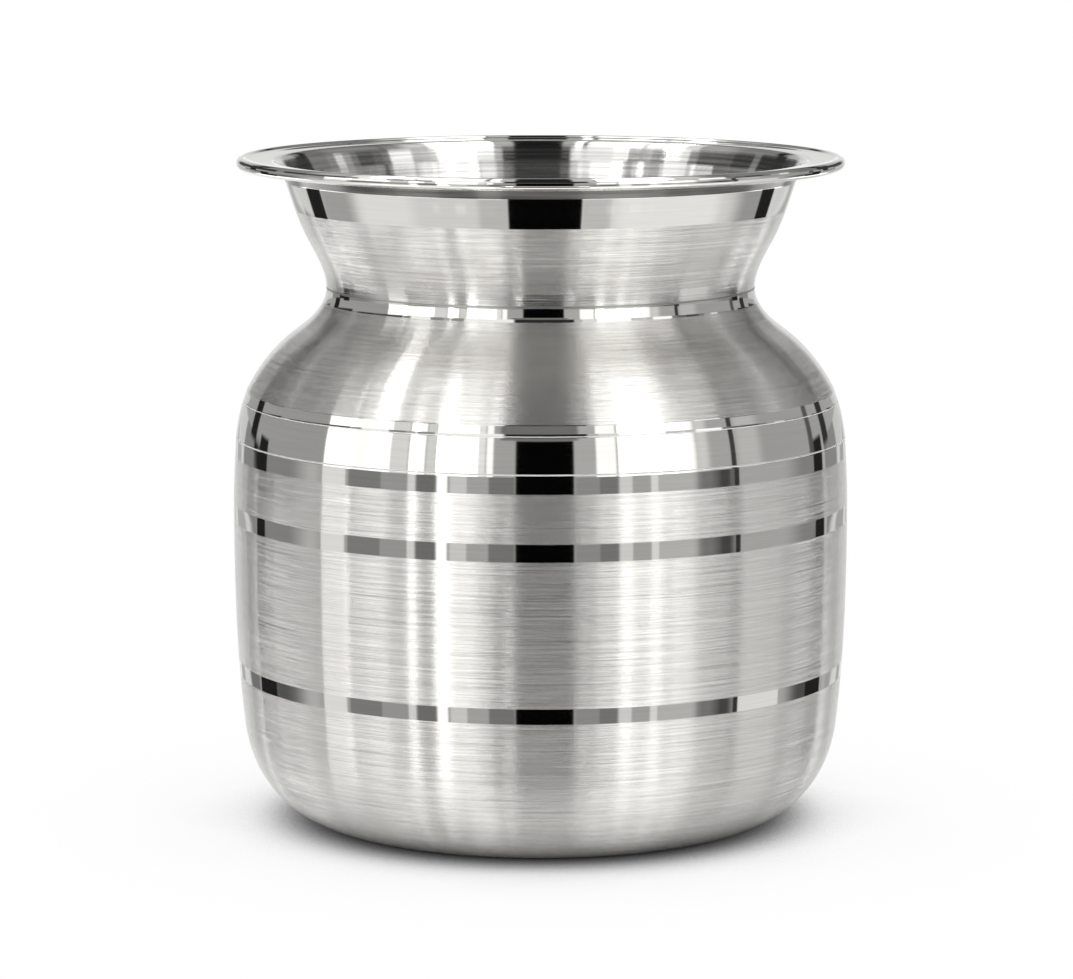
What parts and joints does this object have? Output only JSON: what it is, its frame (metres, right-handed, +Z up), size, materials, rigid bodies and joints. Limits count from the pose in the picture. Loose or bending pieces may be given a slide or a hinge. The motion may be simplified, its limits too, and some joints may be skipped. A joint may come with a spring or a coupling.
{
  "type": "kalash pot",
  "caption": "Open stainless-steel water pot with a flat base, straight belly, rounded shoulder, narrow neck and wide flared mouth with a rolled rim.",
  "frame": {"origin": "centre of the base, on the plane it stands on", "axes": "+Z up along the pot's axis, out of the mouth; X and Y are alike, because the pot is turned about Z"},
  "size_m": [0.1498, 0.1498, 0.162],
  "materials": {
    "brushed_body": "fine satin brushed round the pot, with mirror-polished bands",
    "brushed_mouth": "mirror-polished lip, satin brushed inside and on the neck",
    "drawn_wire": "plain drawn steel wire, closed inside the rim",
    "weld_metal": "brushed weld run"
  },
  "bodies": {
    "root": {"base_cup": "brushed_body", "shoulder_shell": "brushed_body", "mouth_collar": "brushed_mouth", "rim_wire": "drawn_wire", "belly_weld": "weld_metal", "neck_weld": "weld_metal"}
  },
  "joints": []
}
